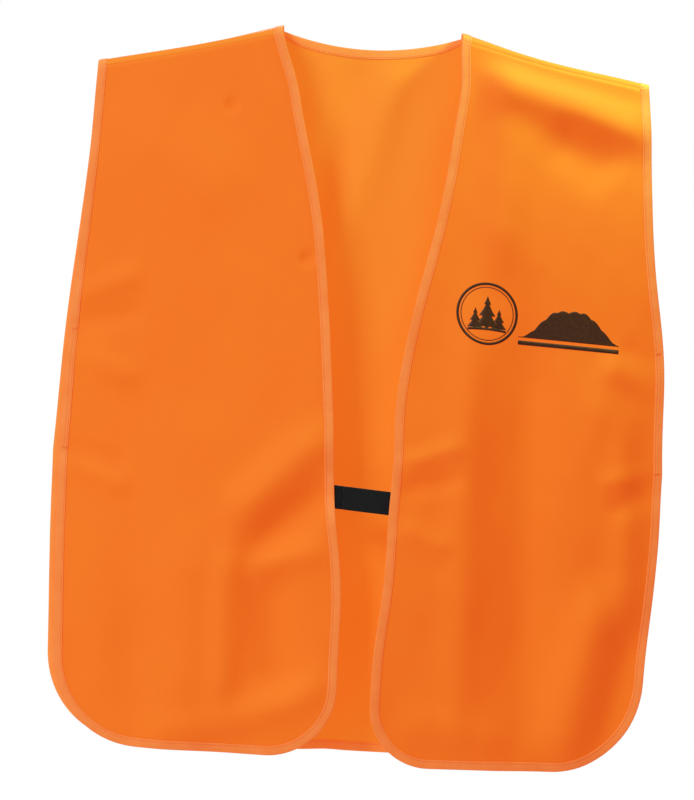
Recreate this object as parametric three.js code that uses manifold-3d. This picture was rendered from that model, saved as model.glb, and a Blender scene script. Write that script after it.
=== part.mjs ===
// A sleeveless blaze orange vest: a back panel, two front panels, bindings round every edge,
// and a touch-fastener strap on each front. Millimetres, +Z up, the front faces -Y.
// The origin is between the neck points, where shoulders or a hanger carry the vest.
import * as THREE from "three";
import { mergeVertices } from "three/addons/utils/BufferGeometryUtils.js";
import Module from "manifold-3d";

const wasm = await Module();
wasm.setup();

// Finished outline seen from the front: x from the centre line, z down from the neck points.
const neckHalf = 78; // neck point to centre line
const shoulderRun = 160; // level run from neck point to shoulder tip
const shoulderDrop = 33; // fall over that run
const neckDip = 12; // depth of the back neck curve
const frontHalf = 259; // half width of the fronts, side edge to centre line
const backHalf = 263; // half width of the back
const seamTop = -265; // the side seam's upper end, where the armhole starts
const seamBottom = -370; // its lower end, where the side vent starts
const frontHem = -635;
const backHem = -622;
const outerCorner = 85; // radius of the corner between side and hem
const innerCorner = 55; // radius of the fronts' corner at the free edge
const openingAtStrap = 26; // free edge to centre line at the end of the V
const openingAtHem = 17; // free edge to centre line at the hem
const openingBottom = -340; // lower end of the V
const strapEase = 79.2; // below that end, how far the edge is eased towards the hem's opening

// Cloth, tape and thread.
const cloth = 0.8;
const tape = 0.6; // thickness of the binding tape
const bindingWidth = 10;
const thread = 0.4;
const threadWidth = 0.7;
const stitchInset = 2; // stitching to the binding's inner border
const gap = 0.3; // between pieces that touch

// How the panels stand to each other.
const backY = 16; // plane of the back panel's middle
const sideX = 262; // line about which the fronts slant
const sideSpace = 6; // front to back there, middle to middle
const slant = THREE.MathUtils.degToRad(8); // the fronts lean forward to the centre
const lip = 5; // back cloth that wraps down over the fold at the shoulder

// The line on which each front folds open, and the pieces on either side of it.
const foldStart = -20; // where it leaves the V edge
const foldEnd = seamBottom; // where it leaves the side edge

// Touch-fastener straps.
const strapHeight = 20;
const strapThick = 1.6;
const strapSewn = 38; // length hidden behind the front
const hookFree = 40; // length past the free edge
const loopFree = 41;
const strapLevel = openingBottom - 65; // strap's middle on the centre line
const strapSlope = THREE.MathUtils.degToRad(4.5);

// A flat rectangle on the back where a licence holder is pinned.
const patchWidth = 160;
const patchHeight = 180;
const patchTop = -150;

const bindingHalf = cloth / 2 + gap + tape; // half of a bound edge's thickness
const clothInset = tape + gap; // finished edge to cut edge of the cloth
const shoulderSlope = shoulderDrop / shoulderRun;
const tipHalf = neckHalf + shoulderRun;

const orange = new THREE.MeshStandardMaterial({ color: 0xf57c24, roughness: 0.85 });
const bindingOrange = new THREE.MeshStandardMaterial({ color: 0xf98a45, roughness: 0.8 });
const threadOrange = new THREE.MeshStandardMaterial({ color: 0xf07a30, roughness: 0.6 });
const black = new THREE.MeshStandardMaterial({ color: 0x18191b, roughness: 0.9 });
const blackThread = new THREE.MeshStandardMaterial({ color: 0x101112, roughness: 0.6 });

// ---- solids from points -------------------------------------------------------------------

// One closed body from corners and triangles, turned so that its faces point out.
function closedBody(corners, triangles) {
  const geometry = new THREE.BufferGeometry();
  const places = corners.flatMap((c) => c.toArray());
  geometry.setAttribute("position", new THREE.Float32BufferAttribute(places, 3));
  const volume = triangles.reduce(
    (sum, [a, b, c]) => sum + corners[a].dot(corners[b].clone().cross(corners[c])),
    0,
  );
  const facing = volume < 0 ? triangles.map(([a, b, c]) => [a, c, b]) : triangles;
  geometry.setIndex(facing.flat());
  return geometry;
}

function facetNormal(outline) {
  const normal = new THREE.Vector3();
  outline.forEach((p, i) => normal.add(p.clone().cross(outline[(i + 1) % outline.length])));
  return normal.normalize();
}

// Triangles of a flat facet with its holes, as lists of its own points.
function facetTriangles({ outline, holes = [] }) {
  const normal = facetNormal(outline);
  const along = outline[1].clone().sub(outline[0]).normalize();
  const across = normal.clone().cross(along);
  const flat = (p) => new THREE.Vector2(p.dot(along), p.dot(across));
  const points = [outline, ...holes].flat();
  return THREE.ShapeUtils.triangulateShape(
    outline.map(flat),
    holes.map((hole) => hole.map(flat)),
  ).map((triangle) => triangle.map((i) => points[i]));
}

// A sheet of even thickness over flat facets that share edges. At a fold both faces stay flat.
function sheetSolid(facets, thickness) {
  const corners = [];
  const indexOf = new Map();
  const index = (p) => {
    const key = p.toArray().map((v) => Math.round(v * 1000)).join();
    if (!indexOf.has(key)) indexOf.set(key, corners.push({ at: p, normals: [] }) - 1);
    return indexOf.get(key);
  };
  const faces = facets.flatMap((facet) => {
    const normal = facetNormal(facet.outline);
    return facetTriangles(facet).map((triangle) => triangle.map((p) => {
      const i = index(p);
      const known = corners[i].normals;
      if (!known.some((n) => n.dot(normal) > 0.99999)) known.push(normal);
      return i;
    }));
  });
  const lift = corners.map(({ normals: [a, b] }) =>
    b ? a.clone().add(b).divideScalar(1 + a.dot(b)) : a.clone());
  const face = (half) => corners.map(({ at }, i) => at.clone().addScaledVector(lift[i], half));
  const count = corners.length;
  const used = new Set(faces.flatMap(([a, b, c]) => [[a, b], [b, c], [c, a]].map(String)));
  const rims = faces.flatMap(([a, b, c]) => [[a, b], [b, c], [c, a]])
    .filter(([a, b]) => !used.has(String([b, a])));
  return closedBody(
    [...face(thickness / 2), ...face(-thickness / 2)],
    [
      ...faces,
      ...faces.map(([a, b, c]) => [a + count, c + count, b + count]),
      ...rims.flatMap(([a, b]) => [[a, a + count, b], [b, a + count, b + count]]),
    ],
  );
}

// A bound edge: for each point, where the edge is, and the directions into the cloth and out of it.
// faces holds the outward normal of the cloth on each stretch between two points.
function edgeStations(points, faces) {
  const stretches = faces.map((out, i) => {
    const along = points[i + 1].clone().sub(points[i]).normalize();
    return { out, inward: along.cross(out).normalize() };
  });
  return points.map((at, i) => {
    const a = stretches[Math.max(i - 1, 0)];
    const b = stretches[Math.min(i, stretches.length - 1)];
    const out = a.out.clone().add(b.out).divideScalar(1 + a.out.dot(b.out));
    const fold = a.out.clone().cross(b.out);
    if (fold.length() < 1e-6) {
      const inward = a.inward.clone().add(b.inward).divideScalar(1 + a.inward.dot(b.inward));
      return { at, out, inward };
    }
    fold.normalize();
    if (fold.dot(a.inward) < 0) fold.negate();
    const reach = [1 / fold.dot(a.inward), 1 / fold.dot(b.inward)];
    const inward = fold.clone().multiplyScalar((reach[0] + reach[1]) / 2);
    return { at, out, inward, cut: fold.multiplyScalar(Math.max(...reach)) };
  });
}

// The cut edge of the cloth under a binding.
const cutEdge = (stations) =>
  stations.map(({ at, inward, cut = inward }) => at.clone().addScaledVector(cut, clothInset));

// A profile of [depth into the cloth, height out of it] carried along the stations.
function sweptSolid(stations, profile) {
  const size = profile.length;
  const corners = stations.flatMap(({ at, inward, out }) =>
    profile.map(([depth, height]) =>
      at.clone().addScaledVector(inward, depth).addScaledVector(out, height)));
  const sides = stations.slice(1).flatMap((_, i) =>
    profile.flatMap((__, j) => {
      const a = i * size + j;
      const b = i * size + ((j + 1) % size);
      return [[a, b, a + size], [b, b + size, a + size]];
    }));
  const end = profile.map(([depth, height]) => new THREE.Vector2(depth, height));
  const cap = THREE.ShapeUtils.triangulateShape(end, []);
  const last = corners.length - size;
  return closedBody(corners, [
    ...sides,
    ...cap.map(([a, b, c]) => [a, c, b]),
    ...cap.map(([a, b, c]) => [a + last, b + last, c + last]),
  ]);
}

// Tape folded over an edge, and the row of stitches that holds it, on the cloth's outer side.
const inner = bindingHalf - tape;
const bindingProfile = [
  [0, -bindingHalf], [bindingWidth, -bindingHalf], [bindingWidth, -inner], [tape, -inner],
  [tape, inner], [bindingWidth, inner], [bindingWidth, bindingHalf], [0, bindingHalf],
];
const stitchDepth = bindingWidth - stitchInset;
const stitchBase = bindingHalf + gap;
const stitchProfile = [
  [stitchDepth - threadWidth / 2, stitchBase], [stitchDepth + threadWidth / 2, stitchBase],
  [stitchDepth + threadWidth / 2, stitchBase + thread],
  [stitchDepth - threadWidth / 2, stitchBase + thread],
];

// ---- booleans -----------------------------------------------------------------------------

function toManifold(geometry) {
  const bare = geometry.clone();
  bare.deleteAttribute("normal");
  bare.deleteAttribute("uv");
  const merged = mergeVertices(bare, 1e-4);
  return new wasm.Manifold(new wasm.Mesh({
    numProp: 3,
    vertProperties: merged.attributes.position.array,
    triVerts: new Uint32Array(merged.index.array),
  }));
}

function toGeometry(solid) {
  const { vertProperties, triVerts } = solid.getMesh();
  const geometry = new THREE.BufferGeometry();
  geometry.setAttribute("position", new THREE.BufferAttribute(vertProperties, 3));
  geometry.setIndex(new THREE.BufferAttribute(triVerts, 1));
  return geometry;
}

function named(name, geometry, material) {
  const mesh = new THREE.Mesh(geometry, material);
  mesh.name = name;
  return mesh;
}

// ---- outlines -----------------------------------------------------------------------------

const sideAt = (half, z) =>
  tipHalf + ((half - tipHalf) * (z + shoulderDrop)) / (seamBottom + shoulderDrop);
const shoulderAt = (x) => -shoulderSlope * (x - neckHalf);

// From the shoulder tip down the side to the hem, rounded at the corner.
function sidePoints(half, hem, top) {
  const corner = new THREE.Path();
  corner.absarc(half - outerCorner, hem + outerCorner, outerCorner, 0, -Math.PI / 2, true);
  return [
    new THREE.Vector2(sideAt(half, top), top),
    new THREE.Vector2(sideAt(half, seamTop), seamTop),
    new THREE.Vector2(half, seamBottom),
    ...corner.getPoints(6),
  ];
}

// From the hem up the front's free edge and its V to the neck point.
function freeEdgePoints() {
  const edge = new THREE.Path();
  const centre = [openingAtHem + innerCorner, frontHem + innerCorner];
  edge.absarc(...centre, innerCorner, -Math.PI / 2, -Math.PI, true);
  edge.bezierCurveTo(
    openingAtHem, openingBottom - 0.58 * (openingBottom - centre[1]),
    openingAtStrap, openingBottom - strapEase,
    openingAtStrap, openingBottom,
  );
  edge.bezierCurveTo(
    openingAtStrap + 4, 0.68 * openingBottom,
    neckHalf - 12, 0.3 * openingBottom,
    neckHalf, 0,
  );
  const points = edge.getPoints(6);
  return points.filter((p, i) => i === 0 || p.distanceTo(points[i - 1]) > 0.01);
}

// Where a run of points crosses a level.
function crossing(points, level) {
  const i = points.findIndex((p, j) => j > 0 && (p.y - level) * (points[j - 1].y - level) <= 0);
  const [a, b] = [points[i - 1], points[i]];
  return a.clone().lerp(b, (level - a.y) / (b.y - a.y));
}

const frontY = (x) => backY - sideSpace - (sideX - x) * Math.tan(slant);
const onFront = (x) => (x - sideX) / Math.cos(slant); // distance from sideX within the slanted plane

// ---- back ---------------------------------------------------------------------------------

const mirrored = (p) => new THREE.Vector3(-p.x, p.y, p.z);
const backOut = new THREE.Vector3(0, 1, 0);
const roofOut = new THREE.Vector3(shoulderSlope, 0, 1).normalize();
const lipOut = new THREE.Vector3(Math.sin(slant), -Math.cos(slant), 0);
const onBack = (p) => new THREE.Vector3(p.x, backY, p.y);

// Over the left shoulder at x: from the lip's lower edge over the fold to the back.
const overShoulder = (x) => [
  new THREE.Vector3(x, frontY(x), shoulderAt(x) - lip),
  new THREE.Vector3(x, frontY(x), shoulderAt(x)),
  new THREE.Vector3(x, backY, shoulderAt(x)),
];
// Outward normals of a run that goes over one shoulder, across the back and over the other one.
const runFaces = (stretches) => [
  lipOut, roofOut, ...Array(stretches).fill(backOut), mirrored(roofOut), mirrored(lipOut),
];

function backNeckStations() {
  const curve = new THREE.QuadraticBezierCurve(
    new THREE.Vector2(neckHalf, 0), new THREE.Vector2(0, -2 * neckDip), new THREE.Vector2(-neckHalf, 0),
  ).getPoints(12);
  const over = overShoulder(neckHalf);
  const points = [...over, ...curve.slice(1, -1).map(onBack), ...over.map(mirrored).reverse()];
  return edgeStations(points, runFaces(curve.length - 1));
}

function backEdgeStations() {
  const side = sidePoints(backHalf, backHem, shoulderAt(tipHalf)).slice(1).map(onBack);
  const over = overShoulder(tipHalf);
  const points = [
    ...over.map(mirrored), ...side.map(mirrored),
    ...[...side].reverse(), ...[...over].reverse(),
  ];
  return edgeStations(points, [
    mirrored(lipOut), mirrored(roofOut), ...Array(2 * side.length + 1).fill(backOut), roofOut, lipOut,
  ]);
}

function makeBack() {
  const neck = backNeckStations();
  const edge = backEdgeStations();
  const neckCut = cutEdge(neck);
  const edgeCut = cutEdge(edge);
  const patch = [
    [-patchWidth / 2, patchTop], [patchWidth / 2, patchTop],
    [patchWidth / 2, patchTop - patchHeight], [-patchWidth / 2, patchTop - patchHeight],
  ].map(([x, z]) => new THREE.Vector3(x, backY, z));
  const shoulder = (n, e) => [
    { outline: [n[0], e[0], e[1], n[1]] },
    { outline: [n[1], e[1], e[2], n[2]] },
  ];
  const left = shoulder(neckCut.slice(0, 3), edgeCut.slice(-3).reverse());
  const right = shoulder(neckCut.slice(-3).reverse(), edgeCut.slice(0, 3));
  const facets = [
    { outline: [...neckCut.slice(2, -2), ...edgeCut.slice(2, -2)].reverse(), holes: [patch] },
    { outline: patch },
    ...left,
    ...right.map(({ outline }) => ({ outline: outline.reverse() })),
  ];
  const group = new THREE.Group();
  group.add(
    named("back_panel", sheetSolid(facets, cloth), orange),
    named("back_neck_binding", sweptSolid(neck, bindingProfile), bindingOrange),
    named("back_edge_binding", sweptSolid(edge, bindingProfile), bindingOrange),
    named("back_neck_stitching", sweptSolid(neck, stitchProfile), threadOrange),
    named("back_edge_stitching", sweptSolid(edge, stitchProfile), threadOrange),
  );
  return group;
}

// ---- fronts, each built on the wearer's left in the slanted plane, and mirrored for the right ----

const frontOut = new THREE.Vector3(0, -1, 0);
const inFront = (p) => new THREE.Vector3(onFront(p.x), 0, p.y);
const freeEdge = freeEdgePoints();
const strapEdge = crossing(freeEdge, strapLevel); // free edge at the straps
const foldFrom = new THREE.Vector2(onFront(frontHalf), foldEnd);
const foldTo = new THREE.Vector2(onFront(crossing(freeEdge, foldStart).x), foldStart);
const foldLean = Math.atan2(foldFrom.x - foldTo.x, foldTo.y - foldFrom.y); // from upright
const foldY = -(stitchBase + thread); // the fold turns about the outermost face of what crosses it

// Everything on one side of the fold line, short of it by half a gap: +1 outer side, -1 inner side.
function besideFold(side) {
  const size = 2000;
  const box = new THREE.BoxGeometry(size, size, size);
  box.translate((side * (size + gap)) / 2, 0, 0).rotateY(-foldLean);
  box.translate(foldFrom.x, 0, foldFrom.y);
  return toManifold(box);
}
const shoulderSide = besideFold(1);
const flapSide = besideFold(-1);

const keep = (geometry, region) => toGeometry(toManifold(geometry).intersect(region));

// The parts of an edge run that stay with the shoulder: the neck end and the armhole.
function shoulderRuns(geometry) {
  const bodies = toManifold(geometry).intersect(shoulderSide).decompose();
  bodies.sort((a, b) => a.boundingBox().min[0] - b.boundingBox().min[0]);
  return bodies.map(toGeometry);
}

function frontStations() {
  const top = (x) => shoulderAt(x) - lip - gap;
  const side = sidePoints(frontHalf, frontHem, top(tipHalf));
  const edge = freeEdge.filter((p) => p.y < top(neckHalf));
  const points = [...side, ...edge, crossing(freeEdge, top(neckHalf))].map(inFront);
  return edgeStations(points, Array(points.length - 1).fill(frontOut));
}

// A flat strip of the given thickness that stands across the stretch from one point to another.
function strip(from, to, across, thickness) {
  const outline = [from, to, to.clone().add(across), from.clone().add(across)];
  return sheetSolid([{ outline }], thickness);
}

function makeShoulderSeam(name) {
  const seamAt = (half) => {
    const z = shoulderAt(half) - lip - gap / 2 + threadWidth;
    return new THREE.Vector3(onFront(half), -(cloth / 2 + gap + thread / 2), z);
  };
  const across = new THREE.Vector3(0, 0, -2 * threadWidth);
  const clear = bindingWidth + 2 * gap;
  const seam = strip(seamAt(neckHalf + clear), seamAt(tipHalf - clear), across, thread);
  return named(name, seam, threadOrange);
}

// The side seam's thread crosses the space between the two bound edges, in the vest's own frame.
function makeSideSeam(name) {
  const frontFace = bindingHalf / Math.cos(slant) + gap;
  const at = (z) => {
    const x = sideAt(frontHalf, z) - bindingWidth / 2;
    return new THREE.Vector3(x, frontY(x) + frontFace, z);
  };
  const [top, bottom] = [at(seamTop), at(seamBottom)];
  const back = backY - bindingHalf - gap;
  const outline = [top, bottom, bottom.clone().setY(back), top.clone().setY(back)];
  return named(name, sheetSolid([{ outline }], threadWidth), threadOrange);
}

function makeFront(side) {
  const stations = frontStations();
  const panel = sheetSolid([{ outline: cutEdge(stations) }], cloth);
  const binding = sweptSolid(stations, bindingProfile);
  const stitching = sweptSolid(stations, stitchProfile);
  const [neckBinding, armholeBinding] = shoulderRuns(binding);
  const [neckStitching, armholeStitching] = shoulderRuns(stitching);
  const group = new THREE.Group();
  group.position.set(sideX, backY - sideSpace, 0);
  group.rotation.z = slant;
  group.add(
    named(`${side}_front_panel`, keep(panel, flapSide), orange),
    named(`${side}_shoulder_panel`, keep(panel, shoulderSide), orange),
    named(`${side}_front_binding`, keep(binding, flapSide), bindingOrange),
    named(`${side}_neck_binding`, neckBinding, bindingOrange),
    named(`${side}_armhole_binding`, armholeBinding, bindingOrange),
    named(`${side}_front_stitching`, keep(stitching, flapSide), threadOrange),
    named(`${side}_neck_stitching`, neckStitching, threadOrange),
    named(`${side}_armhole_stitching`, armholeStitching, threadOrange),
    makeShoulderSeam(`${side}_shoulder_seam`),
  );
  return group;
}

// ---- straps -------------------------------------------------------------------------------

const strapBack = bindingHalf + gap; // behind the front's bound edge
const strapMiddle = strapBack + strapThick / 2;
const hookTipToEdge = 2 * strapEdge.x - hookFree; // from the hook strap's tip to the other front
const loopJog = hookTipToEdge - 2 * strapThick; // length over which the loop strap steps back behind it

// The frame of a strap: its origin on the free edge, +x along the strap into the vest.
function strapFrame(slope) {
  const frame = new THREE.Group();
  const rise = Math.sign(slope) * -strapEdge.x * Math.tan(strapSlope);
  frame.position.set(onFront(strapEdge.x), 0, strapLevel + rise);
  frame.rotation.y = slope;
  return frame;
}

function strapBox(length) {
  return new THREE.BoxGeometry(length, strapThick, strapHeight);
}

// A rectangle of stitches on the inner face of a strap's sewn end.
function sewnRectangle(name) {
  const ends = [2 * stitchInset, strapSewn - stitchInset];
  const outer = new THREE.Shape();
  const high = strapHeight / 2 - stitchInset;
  const corners = (inset) => [
    [ends[0] + inset, -high + inset], [ends[1] - inset, -high + inset],
    [ends[1] - inset, high - inset], [ends[0] + inset, high - inset],
  ].map(([x, z]) => new THREE.Vector2(x, z));
  outer.setFromPoints(corners(0));
  outer.holes.push(new THREE.Path().setFromPoints(corners(threadWidth)));
  const geometry = new THREE.ExtrudeGeometry(outer, { depth: thread, bevelEnabled: false });
  const mesh = named(name, geometry.rotateX(-Math.PI / 2), blackThread);
  mesh.position.y = strapBack + strapThick + gap;
  return mesh;
}

function makeHookStrap() {
  const frame = strapFrame(strapSlope);
  const sewn = named("hook_strap_sewn_end", strapBox(strapSewn - gap), black);
  sewn.position.set((strapSewn + gap) / 2, strapMiddle, 0);
  const hinge = new THREE.Group();
  hinge.rotation.z = -slant;
  const swing = (strapBack + strapThick) * Math.tan(slant); // how far the turned end reaches back
  const free = named("hook_strap", strapBox(hookFree - swing), black);
  free.position.set(-(hookFree + swing) / 2, strapMiddle, 0);
  hinge.add(free);
  frame.add(sewn, hinge, sewnRectangle("hook_strap_stitching"));
  return frame;
}

// The loop strap is one piece: flat behind its front, then a step back to lie behind the hook strap.
function makeLoopStrap() {
  const frame = strapFrame(-strapSlope);
  const turned = (x, y) => new THREE.Vector2(x, y).rotateAround(new THREE.Vector2(), -slant);
  const behind = strapThick + 2 * gap; // the straps' slopes twist them slightly against each other
  const front = [
    new THREE.Vector2(strapSewn, strapBack), new THREE.Vector2(0, strapBack),
    turned(-loopJog, strapBack + behind), turned(-loopFree, strapBack + behind),
  ];
  const back = [
    turned(-loopFree, strapBack + behind + strapThick),
    turned(-loopJog, strapBack + behind + strapThick),
    new THREE.Vector2(0, strapBack + strapThick), new THREE.Vector2(strapSewn, strapBack + strapThick),
  ];
  const shape = new THREE.Shape([...front, ...back]);
  const geometry = new THREE.ExtrudeGeometry(shape, { depth: strapHeight, bevelEnabled: false });
  frame.add(named("loop_strap", geometry.translate(0, 0, -strapHeight / 2), black));
  frame.add(sewnRectangle("loop_strap_stitching"));
  return frame;
}

// ---- assembly -----------------------------------------------------------------------------

const vest = new THREE.Group();
const left = new THREE.Group(); // the wearer's left, at +x
const right = new THREE.Group(); // its mirror image
right.scale.x = -1;
const leftFront = makeFront("left");
const rightFront = makeFront("right");
leftFront.add(makeHookStrap());
rightFront.add(makeLoopStrap());
left.add(leftFront, makeSideSeam("left_side_seam"));
right.add(rightFront, makeSideSeam("right_side_seam"));
vest.add(makeBack(), left, right);

export default vest;
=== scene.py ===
"""The looks of the blaze orange vest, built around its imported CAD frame.

Cloth, tape and thread are made as real surfaces: each panel is a grid over its own cut shape, each
binding is a folded tape that hugs the panel's edge, and each stitch is a short length of thread.
Lengths in the making are in millimetres; meshes are in metres, in the CAD's frame.
"""

import math

import bpy
import numpy as np
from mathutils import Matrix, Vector


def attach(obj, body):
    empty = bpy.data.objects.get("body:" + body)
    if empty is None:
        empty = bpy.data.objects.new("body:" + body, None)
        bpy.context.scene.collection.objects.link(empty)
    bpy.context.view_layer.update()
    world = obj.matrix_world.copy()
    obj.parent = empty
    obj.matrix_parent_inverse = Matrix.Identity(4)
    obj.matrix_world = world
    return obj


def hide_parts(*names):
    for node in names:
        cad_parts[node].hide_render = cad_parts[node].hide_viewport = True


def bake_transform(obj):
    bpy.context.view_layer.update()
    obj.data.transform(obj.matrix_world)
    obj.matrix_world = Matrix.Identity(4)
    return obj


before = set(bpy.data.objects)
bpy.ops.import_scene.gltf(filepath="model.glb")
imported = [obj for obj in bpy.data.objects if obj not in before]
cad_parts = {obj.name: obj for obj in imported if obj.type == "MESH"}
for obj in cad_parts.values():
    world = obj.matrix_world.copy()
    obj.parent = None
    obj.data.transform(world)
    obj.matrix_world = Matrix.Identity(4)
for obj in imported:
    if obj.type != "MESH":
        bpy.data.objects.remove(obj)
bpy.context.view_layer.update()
MM = 0.001
LEFT, RIGHT = 1, -1  # the wearer's left is at +x
SIDES = (LEFT, RIGHT)
SIDE_NAMES = {LEFT: "left", RIGHT: "right"}

# ---- driving sizes, in millimetres ----

NECK_HALF = 77.0
SHOULDER_RUN = 161.0
SHOULDER_DROP = 33.0
TIP_HALF = NECK_HALF + SHOULDER_RUN
NECK_DIP = 12.0
NECK_LIFT = 5.0  # how much higher than the front the back stands at the neck points
SEAM_TOP, SEAM_BOTTOM = -265.0, -370.0
FRONT_HEM = {LEFT: -630.0, RIGHT: -624.0}
BACK_HEM = -622.0
OUTER_CORNER = {LEFT: 78.0, RIGHT: 77.0}
INNER_CORNER = {LEFT: 52.0, RIGHT: 60.0}
OPENING_AT_STRAP, OPENING_AT_HEM, OPENING_BOTTOM = 26.0, 14.5, -340.0
FRONT_HALF = {LEFT: 267.5, RIGHT: 256.5}  # the wearer's right front lets the back show beside it
BACK_HALF = {LEFT: 267.0, RIGHT: 262.0}
SIDE_BOW = {LEFT: 6.5, RIGHT: 1.5}  # how far the sides stand out above the side seam
SIDE_TAPER = {LEFT: 9.0, RIGHT: 3.0}  # how far they draw in towards the hem
TIP_SHIFT = 2.4  # how far both shoulder tips lie towards the wearer's left

BACK_Y = 16.0  # the back panel's plane
SIDE_X = 266.0  # where back and fronts come together
SIDE_SPACE = 2.8  # between their middles there
FRONT_SPACE = 38.0  # how much further apart they are on the centre line
ROOF_ROUND = 4.0  # radius of the two soft bends over each shoulder
LIP = 5.0  # back cloth in front of the fold, down to the shoulder seam

CLOTH = 0.5
TAPE = 0.42
TAPE_WIDTH = 8.0
TAPE_RISE = CLOTH / 2 + TAPE / 2 + 0.08  # middle of a tape above the middle of the cloth
STITCH_DEPTH = 6.5
STITCH_PITCH = 3.0
STITCH_LENGTH = 2.3
THREAD_RADIUS = 0.17
CUT_INSET = 1.0  # finished edge to the cloth's cut edge
TURN_IN = np.array([0.0, 1.2, 0.35])  # how the fronts' top edge turns in behind the shoulder seam

STRAP_WIDTH, STRAP_THICK = 20.0, 1.2
STRAP_LEVEL = -401.5
STRAP_SLOPE = math.tan(math.radians(4.5))

# ---- numbers and curves ----


def smooth(t):
    t = np.clip(t, 0.0, 1.0)
    return t * t * (3 - 2 * t)


def bump(t):
    """1 in the middle of 0..1, falling smoothly to 0 at both ends and outside."""
    t = np.clip(t, 0.0, 1.0)
    return np.sin(np.pi * t) ** 2


def unit(v):
    return v / np.maximum(np.linalg.norm(v, axis=-1, keepdims=True), 1e-12)


def arc(cx, cz, radius, start, end, count=24):
    a = np.radians(np.linspace(start, end, count))
    return np.stack([cx + radius * np.cos(a), cz + radius * np.sin(a)], -1)


def bezier(points, count=40):
    t = np.linspace(0, 1, count)[:, None]
    a, b, c, d = (np.array(p, float) for p in points)
    return (1 - t) ** 3 * a + 3 * (1 - t) ** 2 * t * b + 3 * (1 - t) * t**2 * c + t**3 * d


def joined(*runs):
    points = np.concatenate([np.atleast_2d(r) for r in runs])
    keep = np.r_[True, np.linalg.norm(np.diff(points, axis=0), axis=1) > 1e-6]
    return points[keep]


def lengths(points):
    return np.r_[0, np.cumsum(np.linalg.norm(np.diff(points, axis=0), axis=1))]


def along(points, share):
    """Points of a run at the given shares of its length."""
    s = lengths(points)
    return np.stack([np.interp(np.asarray(share) * s[-1], s, c) for c in points.T], -1)


def evenly(points, spacing):
    count = max(2, int(round(lengths(points)[-1] / spacing)) + 1)
    return along(points, np.linspace(0, 1, count))


def inward(points):
    """Directions into the cloth, for an edge that goes down the wearer's left side and back up."""
    t = unit(np.gradient(points, axis=0))
    return np.stack([t[:, 1], -t[:, 0]], -1)


def flip(points, side):
    return points * np.array([side, 1.0])


# ---- outlines, made on the wearer's left ----


def side_at(half, z):
    return TIP_HALF + (half - TIP_HALF) * (z + SHOULDER_DROP) / (SEAM_BOTTOM + SHOULDER_DROP)


def shoulder_at(x):
    """Height of the shoulder fold: nearly straight, with the slack of worn cloth."""
    share = (np.abs(x) - NECK_HALF) / SHOULDER_RUN
    slack = np.where(np.asarray(x) > 0, 2.6, 1.2) * bump(share * 0.92 + 0.08)
    return -SHOULDER_DROP * share - slack


def side_run(side, half, hem, top, inset=0.0):
    """Down the side from the shoulder and round the hem's corner."""
    radius = OUTER_CORNER[side]
    corner = arc(half - radius, hem + radius, radius - inset, 0, -90)
    levels = np.concatenate([np.linspace(top, SEAM_BOTTOM, 40), np.linspace(SEAM_BOTTOM, hem + radius, 20)])
    upper = np.array([[min(side_at(half, z), half) - inset, z] for z in levels])
    run = joined(upper, corner)
    z = run[:, 1]
    bow = SIDE_BOW[side] * np.exp(-(((z - SEAM_TOP + 5) / 66) ** 2)) + np.exp(-(((z + 50) / 45) ** 2))
    shift = side * TIP_SHIFT * (1 - smooth((-z - 70) / 160))
    return run + np.stack([bow + shift - SIDE_TAPER[side] * smooth((-z - 410) / 170), 0 * z], -1)


def free_edge(side, inset=0.0):
    """Round the corner at the hem, up the front's free edge and its V to the neck point."""
    radius = INNER_CORNER[side]
    low = FRONT_HEM[side] + radius
    corner = arc(OPENING_AT_HEM + radius, low, radius - inset, -90, -180)
    rise = OPENING_BOTTOM - low
    lower = bezier([
        [OPENING_AT_HEM, low], [OPENING_AT_HEM, low + 0.42 * rise],
        [OPENING_AT_STRAP, low + 0.67 * rise], [OPENING_AT_STRAP, OPENING_BOTTOM],
    ])
    upper = bezier([
        [OPENING_AT_STRAP, OPENING_BOTTOM], [OPENING_AT_STRAP + 4, 0.68 * OPENING_BOTTOM],
        [NECK_HALF - 12, 0.3 * OPENING_BOTTOM], [NECK_HALF, 0],
    ])
    return joined(corner, lower + [inset, 0], upper + [inset, 0])


def sway(z):
    """How far the opening's middle lies to the wearer's left of the vest's: the fronts have
    slipped a little on their way down, and the closed strap holds them so."""
    neck = 8.0 * smooth(-z / 55)
    return neck + 4.5 * bump((-z - 40) / 230) - 1.5 * bump((-z - 240) / 140) + 3.0 * bump((-z - 400) / 150)


def front_side_run(side, inset=0.0):
    top = shoulder_at(side * TIP_HALF) - LIP
    return side_run(side, FRONT_HALF[side], FRONT_HEM[side], top, inset)


def front_free_run(side, inset=0.0):
    """From the hem to the shoulder seam."""
    top = shoulder_at(side * NECK_HALF) - LIP
    edge = free_edge(side, inset)
    edge = edge + np.stack([side * sway(edge[:, 1]), 0 * edge[:, 1]], -1)
    below = edge[edge[:, 1] < top]
    above = edge[len(below)]
    share = (top - below[-1, 1]) / (above[1] - below[-1, 1])
    return joined(below, below[-1] + share * (above - below[-1]))


def back_lift(x):
    """How much higher the back stands than the front: most at the neck points."""
    return NECK_LIFT * (1 - smooth((np.abs(x) - NECK_HALF) / 70))


def top_of_back(x):
    """The line where the back panel's plane ends: the neck curve, and the bends of the shoulders."""
    end = shoulder_at(np.where(x < 0, -NECK_HALF, NECK_HALF)) - ROOF_ROUND + NECK_LIFT
    neck = end - (NECK_DIP + end) * (1 - (x / NECK_HALF) ** 2)
    return np.where(np.abs(x) < NECK_HALF, neck, shoulder_at(x) - ROOF_ROUND + back_lift(x))


def back_side_run(side, inset=0.0):
    top = shoulder_at(side * TIP_HALF) - ROOF_ROUND
    return side_run(side, BACK_HALF[side], BACK_HEM, top, inset)


# ---- how the cloth lies: y over the plan ----

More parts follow.
